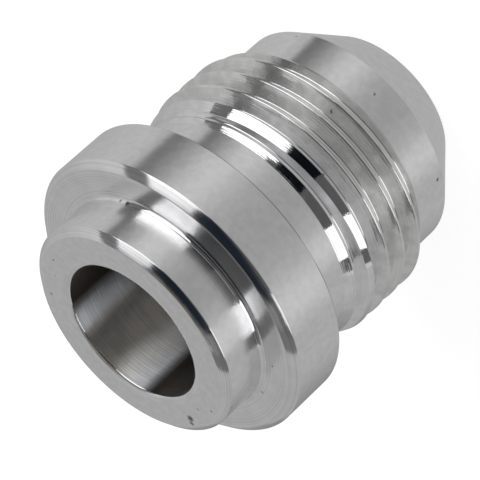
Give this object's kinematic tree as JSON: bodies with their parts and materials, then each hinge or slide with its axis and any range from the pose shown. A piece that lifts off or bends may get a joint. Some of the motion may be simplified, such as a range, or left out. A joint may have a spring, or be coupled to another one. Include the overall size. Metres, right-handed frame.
{
  "type": "weld-on bung",
  "caption": "Turned tube fitting with a stepped weld spigot and collar, a through bore, a straight male thread and a conical sealing nose.",
  "frame": {"origin": "on the bore's axis, in the plane of the seat end that the part stands on", "axes": "+Z along the bore, from the cone seat up to the weld spigot; -Y faces the pictured side"},
  "size_m": [0.0248, 0.0248, 0.0293],
  "materials": {
    "turned_aluminium": "bare aluminium, bright turned, with fine circular tool marks and mirror-like bevels"
  },
  "bodies": {
    "root": {"weld_bung": "turned_aluminium"}
  },
  "joints": []
}
